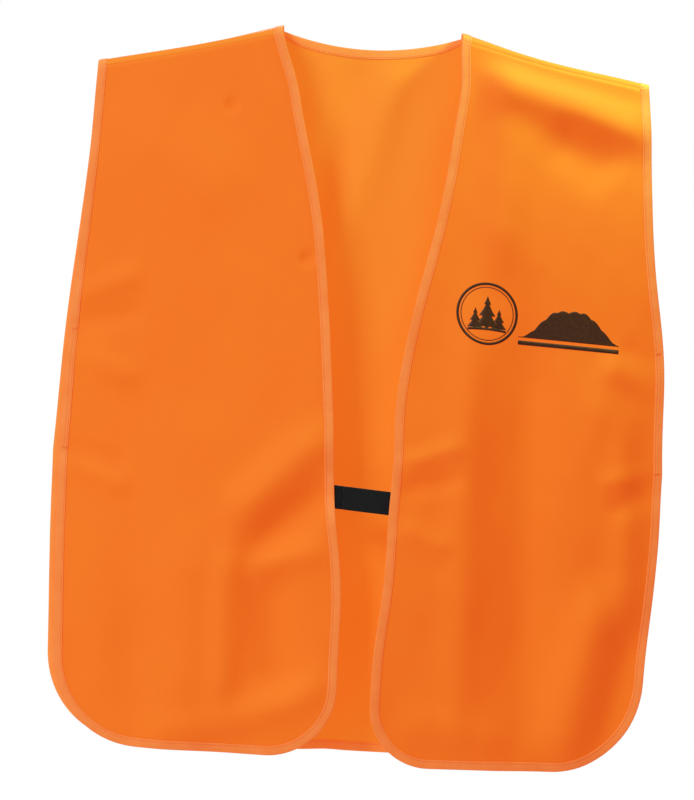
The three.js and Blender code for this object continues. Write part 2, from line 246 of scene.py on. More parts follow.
# Soft folds: both ends as a, z (x, z on the back), half width, and height towards the outside;
# a is the distance from the centre line.
FRONT_FOLDS = {
    LEFT: [
        (104, -37, 248, -80, 18, 8.5),  # over the shoulder
        (117, -15, 121, -200, 20, 7.5),  # beside the V
        (158, -80, 215, -112, 22, -4.0),
        (96, -225, 98, -600, 18, 7.5),  # hangs from the chest to the hem
        (70, -300, 66, -520, 34, 4.5),
        (146, -235, 152, -590, 24, -8.5),
        (210, -280, 206, -450, 30, 4.0),
        (218, -470, 184, -630, 22, 9.5),  # from the side vent to the hem
        (248, -500, 222, -630, 18, -5.0),
        (234, -330, 240, -500, 15, 6.0),
        (264, -298, 212, -276, 13, 4.4),  # pulls at the side seam's ends
        (262, -274, 228, -262, 10, -2.0),
        (262, -328, 196, -318, 22, 2.4),
        (262, -368, 214, -380, 9, 3.4),
        (262, -386, 222, -404, 10, -2.6),
        (40, -372, 92, -352, 9, 3.4),  # pulls at the strap
        (42, -392, 92, -380, 8, -2.8),
        (42, -424, 84, -442, 10, 3.0),
        (50, -590, 140, -606, 18, 4.0),  # along the hem
    ],
    RIGHT: [
        (24, -344, 106, -426, 18, 9.0),  # pulls at the strap
        (18, -392, 84, -452, 15, -6.0),
        (22, -446, 84, -462, 13, 4.0),
        (104, -440, 105, -590, 14, 7.0),  # the crease inside the hem's bulge
        (132, -430, 134, -600, 32, 6.0),
        (66, -470, 56, -575, 20, -7.5),
        (170, -612, 90, -598, 17, 5.5),
        (100, -600, 16, -560, 16, 5.5),
        (150, -330, 146, -500, 38, 4.0),
        (110, -150, 215, -90, 36, 3.5),
        (130, -240, 126, -340, 30, -3.0),
        (40, -196, 54, -198, 5.0, -2.8),  # dents
        (112, -70, 124, -66, 5.0, -2.4),
        (252, -240, 190, -214, 11, 3.2),  # pulls at the side seam's ends
        (252, -262, 190, -250, 10, -2.6),
        (252, -286, 190, -306, 12, 3.2),
        (252, -364, 196, -382, 9, -2.4),
        (252, -380, 196, -402, 10, 3.2),
        (222, -420, 208, -600, 26, 4.0),
    ],
}
BACK_FOLDS = [
    (30, -10, -24, -190, 15, -4.0),
    (-8, -20, -50, -170, 13, 3.0),
    (60, -60, 40, -260, 22, -2.5),
    (-24, -220, -20, -420, 24, 3.0),
    (30, -330, 20, -560, 22, -3.0),
    (14, -465, -18, -640, 14, 8.0),
    (150, -90, 120, -520, 34, 3.6),
    (-130, -110, -150, -480, 34, -3.2),
    (-210, -330, -180, -600, 22, 3.4),
    (205, -330, 190, -600, 22, -3.0),
    (95, -460, 100, -620, 22, 3.0),
    (-252, -272, -180, -292, 10, 2.6),
    (252, -272, 185, -296, 10, 2.6),
    (-252, -372, -190, -392, 10, -2.2),
    (252, -372, 195, -396, 10, -2.2),
]


def folds(x, z, table):
    """The folds' sum: each one is highest in its middle and runs out softly at its ends."""
    total = np.zeros(np.broadcast(x, z).shape)
    for x0, z0, x1, z1, width, height in table:
        length = math.hypot(x1 - x0, z1 - z0)
        ux, uz = (x1 - x0) / length, (z1 - z0) / length
        along_it = (x - x0) * ux + (z - z0) * uz
        across = (x - x0) * uz - (z - z0) * ux
        fade = 0.3 * length + 0.5 * width
        end = smooth((along_it + 0.4 * fade) / fade) * smooth((length + 0.4 * fade - along_it) / fade)
        total += height * end * np.exp(-((across / width) ** 2))
    return total


def hem_waves(x, z, hem, lengths_and_heights):
    """Waves that grow towards a hem."""
    grow = smooth((-z - 380) / (-hem - 380))
    return grow * sum(h * np.sin(2 * np.pi * x / w + p) for w, h, p in lengths_and_heights)


def ripple(x, z):
    """Fine unevenness of thin cloth."""
    return (
        0.35 * np.sin(x / 17.0 + 0.6 * np.sin(z / 41.0)) * np.sin(z / 29.0 + 0.3)
        + 0.16 * np.sin(x / 7.3 + z / 23.0) * np.sin(z / 9.1 - x / 31.0)
    )


def seam_pull(a, z):
    """1 along the side seam, falling away from it."""
    from_side = np.clip(SIDE_X - 4 - a, 0, None)
    beyond = np.clip(z - SEAM_TOP, 0, None) + np.clip(SEAM_BOTTOM - z, 0, None)
    return np.exp(-((from_side / 26) ** 2) - (beyond / 34) ** 2)


def armhole_gape(a, z):
    from_side = np.clip(TIP_HALF + 14 - a, 0, None)
    return np.exp(-((from_side / 40) ** 2)) * bump((z - SEAM_TOP) / (-SHOULDER_DROP - SEAM_TOP))


def front_y(side, x, z):
    x, z = np.asarray(x, float), np.asarray(z, float)
    a = side * x
    t = np.clip((SIDE_X - a) / SIDE_X, -0.05, 1.1)
    space = SIDE_SPACE + FRONT_SPACE * (0.6 * t + 0.4 * np.sin(0.5 * np.pi * t))
    forward = folds(a, z, FRONT_FOLDS[side]) + ripple(x + 40 * side, z)
    forward += hem_waves(a, z, FRONT_HEM[side], [(118, 1.6, 0.4 + side), (74, 0.7, 1.9)])
    held = seam_pull(a, z)
    near_seam = smooth((shoulder_at(x) - LIP - z) / 22)
    y = BACK_Y - space - forward * (1 - 0.75 * held) * near_seam
    return y + 1.0 * held - 3.0 * armhole_gape(a, z)


def back_y(x, z):
    x, z = np.asarray(x, float), np.asarray(z, float)
    a = np.abs(x)
    out = folds(x, z, BACK_FOLDS) + ripple(x + 90, z + 30)
    out += hem_waves(x, z, BACK_HEM, [(150, 1.8, 0.7), (92, 0.8, 2.3)])
    held = seam_pull(a, z)
    freed = smooth((top_of_back(x) - z) / 26)
    return BACK_Y + out * (1 - held) * freed - 0.6 * held + 2.2 * armhole_gape(a, z) * freed


def roof_section(count=6):
    """The cloth's way over the shoulder, from the back to the seam in front: the share of the
    space crossed, the distance forward of that in radii, and the height in radii."""
    quarter = np.radians(np.linspace(0, 90, count))
    back = [(0.0, 1 - math.cos(q), math.sin(q) - 1) for q in quarter]
    flat = [(s, 1 - 2 * s, 0.0) for s in (0.2, 0.4, 0.6, 0.8)]
    front = [(1.0, -(1 - math.sin(q)), math.cos(q) - 1) for q in quarter]
    seam = [(1.0, 0.0, -LIP / ROOF_ROUND), (1.0, -0.3, -LIP / ROOF_ROUND - 0.08)]
    return np.array(back + flat + front + seam)


ROOF = roof_section()


def on_roof(side, a, row):
    """Points over a shoulder at distances a from the centre line; row is a row of ROOF."""
    share, radii, rise = (np.interp(row, np.arange(len(ROOF)), ROOF[:, i]) for i in range(3))
    x = side * np.asarray(a, float)
    fold = shoulder_at(x)
    lift = back_lift(x)
    back, front = back_y(x, fold - ROOF_ROUND + lift), front_y(side, x, fold - LIP)
    radius = np.minimum(ROOF_ROUND, 0.45 * (back - front))
    y = back + (front - back) * share - radii * radius
    crown = 0.8 * np.sin(np.pi * share)
    return np.stack([x, y, fold + rise * ROOF_ROUND + crown + lift * (1 - share)], -1)


# ---- meshes ----


class Surface:
    """Vertices, quads and a flat place for each vertex, gathered grid by grid."""

    def __init__(self):
        self.points, self.faces, self.flat, self.count = [], [], [], 0

    def add(self, points, faces, flat):
        self.points.append(points.reshape(-1, 3))
        self.faces.append(np.asarray(faces) + self.count)
        self.flat.append(flat.reshape(-1, 2))
        self.count += len(self.points[-1])

    def add_grid(self, points, flat):
        """A grid of points [rows, columns, 3] as one sheet."""
        self.add(points, grid_faces(*points.shape[:2]), flat)

    def arrays(self):
        return np.concatenate(self.points), np.concatenate(self.faces), np.concatenate(self.flat)


def grid_faces(rows, columns):
    i = np.arange(rows * columns).reshape(rows, columns)
    return np.stack([i[:-1, :-1], i[:-1, 1:], i[1:, 1:], i[1:, :-1]], -1).reshape(-1, 4)


def merged(points, faces, flat):
    """The same sheet with vertices at one place joined."""
    places = np.round(points, 3)
    _, first, back = np.unique(places, axis=0, return_index=True, return_inverse=True)
    faces = back.reshape(-1)[faces]
    good = np.array([len(set(f)) == len(f) for f in faces.tolist()])
    return points[first], faces[good], flat[first]


def vertex_normals(points, faces):
    p = points[faces]
    n = np.cross(p[:, 2] - p[:, 0], p[:, 3] - p[:, 1])
    normals = np.zeros_like(points)
    for corner in range(4):
        np.add.at(normals, faces[:, corner], n)
    return unit(normals)


def thickened(points, faces, flat, thickness):
    """An open sheet made into a closed shell, half its thickness to each side."""
    normals = vertex_normals(points, faces)
    count = len(points)
    edges = np.concatenate([faces[:, [k, (k + 1) % 4]] for k in range(4)])
    key = edges[:, 0].astype(np.int64) * count + edges[:, 1]
    twin = edges[:, 1].astype(np.int64) * count + edges[:, 0]
    rim = edges[~np.isin(key, twin)]
    shell = np.concatenate([points + normals * thickness / 2, points - normals * thickness / 2])
    sides = np.stack([rim[:, 1], rim[:, 0], rim[:, 0] + count, rim[:, 1] + count], -1)
    return shell, np.concatenate([faces, faces[:, ::-1] + count, sides]), np.concatenate([flat, flat])


def make_object(name, points, faces, flat, material):
    """A smooth mesh object in metres from points in millimetres, with its flat layout as UVs."""
    mesh = bpy.data.meshes.new(name)
    faces = np.asarray(faces)
    size = faces.shape[1]
    mesh.vertices.add(len(points))
    mesh.vertices.foreach_set("co", (np.asarray(points) * MM).astype(np.float32).ravel())
    mesh.loops.add(faces.size)
    mesh.loops.foreach_set("vertex_index", faces.astype(np.int32).ravel())
    mesh.polygons.add(len(faces))
    mesh.polygons.foreach_set("loop_start", (np.arange(len(faces)) * size).astype(np.int32))
    mesh.polygons.foreach_set("use_smooth", np.ones(len(faces), bool))
    mesh.update(calc_edges=True)
    layer = mesh.uv_layers.new(name="flat")
    layer.data.foreach_set("uv", (flat[faces.ravel()] * MM).astype(np.float32).ravel())
    mesh.validate()
    mesh.materials.append(material)
    obj = bpy.data.objects.new(name, mesh)
    bpy.context.scene.collection.objects.link(obj)
    return obj


def sheet_object(name, surface, thickness, material):
    points, faces, flat = merged(*surface.arrays())
    return make_object(name, *thickened(points, faces, flat, thickness), material)


def coons(top, bottom, start, end, u, v):
    """A grid over the plan between four runs: top and bottom at shares u, start and end at shares v."""
    t, b = along(top, u)[None], along(bottom, u)[None]
    s, e = along(start, v)[:, None], along(end, v)[:, None]
    u, v = u[None, :, None], v[:, None, None]
    corners = (
        (1 - u) * (1 - v) * t[:, :1] + u * (1 - v) * t[:, -1:]
        + (1 - u) * v * b[:, :1] + u * v * b[:, -1:]
    )
    return (1 - v) * t + v * b + (1 - u) * s + u * e - corners


# ---- panels ----

CELL = 3.4  # side of a cloth grid's cells
CELL_ACROSS = CELL * 0.4  # closer across the fronts, which fold
SEAM_COLUMNS = 50  # places along a front's top edge
BACK_COLUMNS = 48  # columns over each shoulder, and about as many across the neck


def shares(run, spacing=CELL):
    return np.linspace(0, 1, int(round(lengths(run)[-1] / spacing)) + 1)


def make_front_cloth(side, material):
    """A front panel, with its top edge turned in at the shoulder seam."""
    down = front_side_run(side, CUT_INSET)
    up = front_free_run(side, CUT_INSET)[::-1]
    x = np.linspace(down[0, 0], up[0, 0], SEAM_COLUMNS)
    top = np.stack([x, shoulder_at(side * x) - LIP], -1)
    bottom = np.array([down[-1], up[-1]])
    plan = coons(top, bottom, down, up, shares(bottom, CELL_ACROSS), shares(down))
    a, z = plan[..., 0], plan[..., 1]
    points = np.stack([side * a, front_y(side, side * a, z), z], -1)
    flat = np.concatenate([plan[:1] + TURN_IN[:2], plan])
    surface = Surface()
    surface.add_grid(np.concatenate([points[:1] + TURN_IN, points]), flat)
    return sheet_object(f"{SIDE_NAMES[side]}_front_cloth", surface, CLOTH, material)


def make_back_cloth(material):
    """The back panel, over both shoulders down to the seams in front."""
    tips = {side: back_side_run(side, CUT_INSET)[0, 0] for side in SIDES}
    neck = NECK_HALF + CUT_INSET
    left = np.linspace(tips[LEFT], neck, BACK_COLUMNS)
    across = np.linspace(neck, -neck, BACK_COLUMNS)[1:-1]
    right = np.linspace(-neck, -tips[RIGHT], BACK_COLUMNS)
    x = np.concatenate([left, across, right])
    near_neck = np.clip(1 - (x / neck) ** 6, 0, 1)
    top = np.stack([x, top_of_back(x) - CUT_INSET * near_neck], -1)
    down = {side: flip(back_side_run(side, CUT_INSET), side) for side in SIDES}
    for side, i in ((LEFT, 0), (RIGHT, -1)):
        down[side][0] = top[i]  # so that the corner is one point
    bottom = np.array([down[LEFT][-1], down[RIGHT][-1]])
    u = lengths(top) / lengths(top)[-1]
    plan = coons(top, bottom, down[LEFT], down[RIGHT], u, shares(down[LEFT]))
    px, pz = plan[..., 0], plan[..., 1]
    surface = Surface()
    surface.add_grid(np.stack([px, back_y(px, pz), pz], -1), plan)
    rows = np.arange(len(ROOF))[::-1, None]
    for side, run in ((LEFT, left), (RIGHT, right)):
        points = on_roof(side, np.abs(run)[None] + 0 * rows, rows)
        steps = np.linalg.norm(np.diff(points, axis=0), axis=-1)
        over = np.concatenate([np.cumsum(steps[::-1], axis=0)[::-1], 0 * steps[:1]])
        flat = np.stack([points[..., 0], top_of_back(run)[None] + over], -1)
        surface.add_grid(points, flat)
    return sheet_object("back_cloth", surface, CLOTH, material)


# ---- bound edges ----

STATION = STITCH_PITCH / 2  # between the places at which an edge is worked out
DEPTHS = np.array([0.0, 0.75, 1.5, 2.5, 3.7, 4.8, 5.7, STITCH_DEPTH, 7.3, TAPE_WIDTH])
ENDS_TURN = 20.0  # length over which an edge's inward direction turns to run along the shoulder


class Edge:
    """A finished edge: grids of surface points and outward normals at stations along it, for
    each of DEPTHS into the cloth."""

    def __init__(self, grid, sign):
        self.grid = grid
        along_edge, into = np.gradient(grid, axis=0), np.gradient(grid, DEPTHS, axis=1)
        self.normal = unit(sign * np.cross(along_edge, into))
        self.length = lengths(grid[:, 0])

    def at(self, depth, height):
        """Points at one depth, out of the cloth by a height."""
        i = int(np.clip(np.searchsorted(DEPTHS, depth) - 1, 0, len(DEPTHS) - 2))
        w = (depth - DEPTHS[i]) / (DEPTHS[i + 1] - DEPTHS[i])
        point = self.grid[:, i] * (1 - w) + self.grid[:, i + 1] * w
        normal = unit(self.normal[:, i] * (1 - w) + self.normal[:, i + 1] * w)
        return point + normal * np.reshape(height, (-1, 1)), normal


def plan_stations(run, first, last):
    """Points evenly along a run and directions into the cloth, which turn to first and last at
    the ends."""
    points = evenly(run, STATION)
    into = inward(points)
    kernel = np.ones(9) / 9
    padded = np.pad(into, ((4, 4), (0, 0)), mode="edge")
    into = unit(np.stack([np.convolve(c, kernel, mode="valid") for c in padded.T], -1))
    s = lengths(points)
    for end, away in ((first, s), (last, s[-1] - s)):
        near = (1 - smooth(away / ENDS_TURN))[:, None]
        into = into * (1 - near) + np.array(end) * near
    return points, into


def plan_grid(points, into, height_of):
    plan = points[:, None] + into[:, None] * DEPTHS[None, :, None]
    x, z = plan[..., 0], plan[..., 1]
    return np.stack([x, height_of(x, z), z], -1)


SLOPE = SHOULDER_DROP / SHOULDER_RUN
TIP_INTO, NECK_INTO = (-1.0, SLOPE), (1.0, -SLOPE)  # along the shoulder, from the tip and the neck


def front_bound_edge(side):
    run = joined(front_side_run(side), front_free_run(side))
    points, into = plan_stations(run, TIP_INTO, NECK_INTO)
    grid = plan_grid(flip(points, side), flip(into, side), lambda x, z: front_y(side, x, z))
    return Edge(np.concatenate([grid[:1] + TURN_IN, grid, grid[-1:] + TURN_IN]), -side)


def roof_grid(side, start, direction):
    """Stations over a shoulder, from the back to the seam in front."""
    rows = np.linspace(0, len(ROOF) - 1, 3 * len(ROOF) - 2)[1:, None]
    return on_roof(side, start + direction * DEPTHS[None] + 0 * rows, rows)


def back_bound_edge():
    """From the left shoulder seam over the shoulder, down, along the hem and up to the right one."""
    left = back_side_run(LEFT)
    right = flip(back_side_run(RIGHT), RIGHT)[::-1]
    points, into = plan_stations(joined(left, right), TIP_INTO, (1.0, SLOPE))
    roofs = [roof_grid(LEFT, left[0, 0], -1)[::-1], roof_grid(RIGHT, -right[-1, 0], -1)]
    return Edge(np.concatenate([roofs[0], plan_grid(points, into, back_y), roofs[1]]), 1)


def back_neck_edge():
    """From the right shoulder seam across the back of the neck to the left one."""
    x = np.linspace(-NECK_HALF, NECK_HALF, 90)
    run = np.stack([x, top_of_back(x * (1 - 1e-9))], -1)
    points, into = plan_stations(run, (-1.0, -SLOPE), (1.0, -SLOPE))
    roofs = [roof_grid(RIGHT, NECK_HALF, 1)[::-1], roof_grid(LEFT, NECK_HALF, 1)]
    return Edge(np.concatenate([roofs[0], plan_grid(points, into, back_y), roofs[1]]), 1)


def make_tape(name, edge, material):
    """Tape folded over an edge, drawn down at each needle hole."""
    bend = TAPE_RISE + TAPE / 2
    face = [(TAPE_WIDTH, TAPE_RISE - 0.06), (7.3, TAPE_RISE), (STITCH_DEPTH, TAPE_RISE)]
    face += [(5.7, TAPE_RISE), (4.4, TAPE_RISE + 0.05), (2.8, TAPE_RISE + 0.07), (1.5, TAPE_RISE)]
    turn = np.radians(np.linspace(15, 165, 6))
    over = [(bend - TAPE_RISE * math.sin(q), TAPE_RISE * math.cos(q)) for q in turn]
    profile = face + over + [(d, -h) for d, h in face[::-1]]
    hole = 0.5 + 0.5 * np.cos(2 * np.pi * edge.length / STITCH_PITCH)
    columns, across, walked = [], [], 0.0
    for i, (depth, height) in enumerate(profile):
        near_stitch = math.exp(-(((depth - STITCH_DEPTH) / 1.6) ** 2))
        pucker = np.sign(height) * (0.16 * hole * near_stitch - 0.05 * (1 - hole) * (depth > 2))
        columns.append(edge.at(depth, height - pucker)[0])
        if i:
            walked += math.dist(profile[i - 1], profile[i])
        across.append(walked)
    points = np.stack(columns, 1)
    flat = np.stack(np.broadcast_arrays(edge.length[:, None], np.array(across)[None]), -1)
    surface = Surface()
    surface.add_grid(points, flat)
    return sheet_object(name, surface, TAPE, material)


# ---- thread ----


def add_tubes(surface, paths, sideways, radius, sides=6):
    """Closed tubes of even thickness along paths [tubes, points, 3]; sideways is across each."""
    tangent = unit(np.gradient(paths, axis=1))
    across = np.broadcast_to(unit(sideways)[:, None], paths.shape)
    up = unit(np.cross(across, tangent))
    across = np.cross(tangent, up)
    angle = 2 * np.pi * np.arange(sides) / sides
    ring = up[:, :, None] * np.cos(angle)[:, None] + across[:, :, None] * np.sin(angle)[:, None]
    points = paths[:, :, None] + radius * ring
    tubes, rings = paths.shape[:2]
    i = np.arange(rings * sides).reshape(rings, sides)
    after = np.roll(i, -1, axis=1)
    wall = np.stack([i[:-1], after[:-1], after[1:], i[1:]], -1).reshape(-1, 4)
    first, last = i[0], i[-1]
    caps = [[first[0], first[3], first[2], first[1]], [first[0], first[5], first[4], first[3]]]
    caps += [[last[0], last[1], last[2], last[3]], [last[0], last[3], last[4], last[5]]]
    faces = np.concatenate([wall, caps])
    every = faces[None] + (np.arange(tubes) * rings * sides)[:, None, None]
    walked = np.concatenate([np.zeros((tubes, 1)), np.cumsum(
        np.linalg.norm(np.diff(paths, axis=1), axis=-1), axis=1)], 1)
    flat = np.stack(np.broadcast_arrays(walked[..., None], angle * radius), -1)
    surface.add(points, every.reshape(-1, 4), flat)


STITCH_SHAPE = [(0.0, -0.3), (0.12, 0.08), (0.5, 0.17), (0.88, 0.08), (1.0, -0.3)]


def add_threads(surface, starts, ends, normals):
    """Single stitches from starts to ends, which dive in at both."""
    share = np.array([s for s, _ in STITCH_SHAPE])[None, :, None]
    lift = np.array([h for _, h in STITCH_SHAPE])[None, :, None]
    paths = starts[:, None] * (1 - share) + ends[:, None] * share + normals[:, None] * lift
    add_tubes(surface, paths, np.cross(ends - starts, normals), THREAD_RADIUS)


def add_stitch_row(surface, points, normals, pitch=STITCH_PITCH, stitch=STITCH_LENGTH):
    s = lengths(points)
    middles = np.arange(pitch / 2, s[-1] - pitch / 2, pitch)

    def at(values, where):
        return np.stack([np.interp(where, s, c) for c in values.T], -1)

    starts, ends = at(points, middles - stitch / 2), at(points, middles + stitch / 2)
    add_threads(surface, starts, ends, unit(at(normals, middles)))


def thread_object(name, surface, material):
    return make_object(name, *surface.arrays(), material)


ON_TAPE = TAPE_RISE + TAPE / 2
EDGE_SINK, SEAM_SINK = 0.04, 0.02  # how far a binding's row and the side seam's lie in the tape


def make_edge_stitches(name, edge, material):
    """The row that holds a binding, on both faces."""
    surface = Surface()
    for face in (1, -1):
        points, normal = edge.at(STITCH_DEPTH, face * (ON_TAPE - EDGE_SINK))
        add_stitch_row(surface, points, face * normal)
    return thread_object(name, surface, material)


def make_shoulder_seam(side, material):
    """Stitches across the groove between the back cloth's turned edge and the front."""
    a = np.linspace(TIP_HALF - TAPE_WIDTH - 2, NECK_HALF + TAPE_WIDTH + 2, 80)
    x = side * a
    z = shoulder_at(x) - LIP - 0.1
    points = np.stack([x, front_y(side, x, z) + 0.45, z], -1)
    normals = np.broadcast_to([0.0, -1.0, 0.0], points.shape)
    surface = Surface()
    add_stitch_row(surface, points, normals)
    return thread_object(f"{SIDE_NAMES[side]}_shoulder_seam_thread", surface, material)


SIDE_ROW_DEPTH = 4.2
BAR_TACK = (2.4, 7.6)  # depths between which a bar tack's threads run
BAR_THREADS, BAR_HALF = 7, 1.6  # threads of a bar tack, and half its width


def make_side_seam(side, front_edge, back_edge, material):
    """The row through both bound edges along the side seam, closed by a bar tack at each end."""
    surface = Surface()
    height = ON_TAPE - SEAM_SINK
    for edge in (front_edge, back_edge):
        points, normal = edge.at(SIDE_ROW_DEPTH, height)
        near = (np.sign(points[:, 0]) == side) & (points[:, 2] < SEAM_TOP) & (points[:, 2] > SEAM_BOTTOM)
        near &= np.abs(points[:, 0]) > NECK_HALF
        rows = np.flatnonzero(near)
        add_stitch_row(surface, points[rows], normal[rows])
        shallow, deep = (edge.at(depth, height)[0] for depth in BAR_TACK)
        for end in (rows[0], rows[-1]):
            z_shift = np.linspace(-BAR_HALF, BAR_HALF, BAR_THREADS)[:, None] * [0, 0, 1]
            add_threads(surface, shallow[end] + z_shift, deep[end] + z_shift[::-1] * 0.9,
                        np.broadcast_to(normal[end], (BAR_THREADS, 3)))
    return thread_object(f"{SIDE_NAMES[side]}_side_seam_thread", surface, material)


# ---- straps ----

STRAP_EDGE = 24.1  # the hook strap's joint; the front's edge sways about 8 mm further out here
STRAP_SEWN = 37.0
HOOK_TIP, LOOP_TIP = -8.0, 19.0
HOOK_FREE_Y = -21.1
STRAP_GAP = 0.25
STRAP_BEHIND = ON_TAPE + STRAP_THICK / 2 + STRAP_GAP  # a sewn strap's middle behind its front
LOOP_LEAVES = -17.0  # x up to which the loop strap follows its front
LOOP_STEP = (-15.0, -8.5)  # x between which the loop strap steps back behind the hook strap
HOOK_HEIGHT = 0.7  # room for the hooks between the two straps
STRAP_CORNER = 1.2  # radius of a strap's corners
FIELD_HALF, FIELD_MARGIN = 8.6, 1.2  # half height of a field, and its way in from the strap's ends


def strap_z(x):
    return STRAP_LEVEL - STRAP_SLOPE * x


def hook_strap_y(x, z):
    sewn = front_y(LEFT, np.maximum(x, STRAP_EDGE), z) + STRAP_BEHIND
    free = smooth((STRAP_EDGE - x) / (STRAP_EDGE - HOOK_TIP) * 1.2)
    bow = 0.25 * np.sin((x - HOOK_TIP) / 9.0)
    return sewn * (1 - free) + (HOOK_FREE_Y + bow) * free


def loop_strap_y(x, z):
    sewn = front_y(RIGHT, np.minimum(x, LOOP_LEAVES), z) + STRAP_BEHIND
    behind = smooth((x - LOOP_STEP[0]) / (LOOP_STEP[1] - LOOP_STEP[0]))
    covered = hook_strap_y(np.maximum(x, HOOK_TIP), z) + STRAP_THICK + HOOK_HEIGHT + STRAP_GAP
    return sewn * (1 - behind) + covered * behind


HOOK_SHAPE = [(0.0, -0.1), (0.0, 0.35), (0.12, 0.6), (0.34, 0.64), (0.44, 0.46)]
PILE_SHAPE = [(-0.3, -0.1), (-0.4, 0.25), (0.0, 0.42), (0.4, 0.25), (0.3, -0.1)]


def strap_points(x, across, y_of, lift=0.0):
    """Points on a strap's middle surface or out of it along y."""
    z = strap_z(x) + across
    return np.stack(np.broadcast_arrays(x, y_of(x, z) + lift, z), -1)


def make_strap(name, start, end, y_of, material):
    x = np.linspace(start, end, int(abs(end - start) / 0.9))[:, None]
    into_corner = STRAP_CORNER - np.minimum(np.minimum(np.abs(x - start), np.abs(x - end)), STRAP_CORNER)
    short = STRAP_CORNER - np.sqrt(np.clip(STRAP_CORNER**2 - into_corner**2, 0, None))
    half = STRAP_WIDTH / 2 - short
    share = np.linspace(-1, 1, 15)[None]
    cup = -0.18 * share**2
    points = strap_points(x + 0 * share, half * share, y_of, cup)
    flat = np.stack(np.broadcast_arrays(x, STRAP_WIDTH / 2 * share), -1)
    surface = Surface()
    surface.add_grid(points, flat)
    return sheet_object(name, surface, STRAP_THICK, material)


def make_field(name, start, end, y_of, facing, shape, pitch, radius, material, seed):
    """Rows of tiny hooks or loops on one face of a strap: facing is 1 for the back, -1 the front."""
    random = np.random.default_rng(seed)
    x, across = np.meshgrid(
        np.arange(start + FIELD_MARGIN, end - FIELD_MARGIN, pitch),
        np.arange(-FIELD_HALF, FIELD_HALF + 0.01, pitch), indexing="ij")
    x = x + random.uniform(-0.2, 0.2, x.shape) * pitch
    across = across + random.uniform(-0.2, 0.2, x.shape) * pitch
    roots = strap_points(x, across, y_of, facing * STRAP_THICK / 2).reshape(-1, 3)
    turn = random.uniform(-0.5, 0.5, len(roots))
    lean = np.stack([np.cos(turn), 0 * turn, np.sin(turn)], -1)
    paths = roots[:, None] + np.array([s for s, _ in shape])[None, :, None] * lean[:, None]
    paths = paths + np.array([h for _, h in shape])[None, :, None] * np.array([0, facing, 0])
    surface = Surface()
    add_tubes(surface, paths, np.cross(lean, [0.0, facing, 0.0]), radius)
    return make_object(name, *surface.arrays(), material)


def make_strap_stitches(name, side, y_of, material):
    """A sewn rectangle on the strap's inner face."""
    near, far, high = STRAP_EDGE + 4, STRAP_EDGE + STRAP_SEWN - 2, STRAP_WIDTH / 2 - 2
    corners = [(near, -high), (far, -high), (far, high), (near, high), (near, -high)]
    surface = Surface()
    for (a0, c0), (a1, c1) in zip(corners, corners[1:]):
        t = np.linspace(0, 1, 30)
        x, across = side * (a0 + (a1 - a0) * t), c0 + (c1 - c0) * t
        points = strap_points(x, across, y_of, STRAP_THICK / 2 - 0.12)
        add_stitch_row(surface, points, np.broadcast_to([0.0, 1.0, 0.0], points.shape), 2.6, 2.0)
    return thread_object(name, surface, material)


# ---- the print on the left front ----

PRINT_X, PRINT_Z = 150.5, -243.0  # middle of the print
PRINT_TILT = math.tan(math.radians(3.0))
PRINT_LIFT = CLOTH / 2 + 0.13
PRINT_THICK = 0.06
BADGE = (-42.0, 3.0)  # middle of the badge, from the print's
RINGS = ((24.6, 26.8), (22.4, 23.1))
PINES = ((-10.4, 19.5), (0.0, 30.0), (10.4, 19.5))  # place and height of each
PINE_FOOT = -15.0
GROUND_HALF, GROUND_BEND = 16.7, 0.0035
RIDGE_START, RIDGE_END, RIDGE_FOOT = -14.0, 74.0, -14.0
BAR = (-20.4, -16.8)


def print_points(u, v):
    """Places on the left front for places on the print, u across and v up from its middle."""
    x, z = PRINT_X + u, PRINT_Z + v - PRINT_TILT * u
    return np.stack([x, front_y(LEFT, x, z) - PRINT_LIFT, z], -1)


def add_band(surface, u_low, v_low, u_high, v_high, rows=4):
    """A printed area between two lines, given as arrays of u and v."""
    share = np.linspace(0, 1, rows)[:, None]
    u = np.asarray(u_low)[None] * (1 - share) + np.asarray(u_high)[None] * share
    v = np.asarray(v_low)[None] * (1 - share) + np.asarray(v_high)[None] * share
    surface.add_grid(print_points(u, v), np.stack([u, v], -1))


def add_ring(surface, cu, cv, inner, outer):
    q = np.radians(np.linspace(0, 360, 97))
    add_band(surface, cu + inner * np.cos(q), cv + inner * np.sin(q),
             cu + outer * np.cos(q), cv + outer * np.sin(q), rows=3)


def add_pine(surface, cu, base, height):
    """A pine in outline: three tiers of branches that narrow upwards."""
    v = np.linspace(0.1, 1, 61)
    tier = np.mod(v * 3.0 - 0.3, 1.0)
    half = 0.34 * (1.02 - v) * (1.25 - 0.6 * tier) * height
    half = np.where(v < 0.14, 0.05 * height, half)
    rise = base + v * height
    add_band(surface, cu - half, rise, cu + half, rise, rows=5)


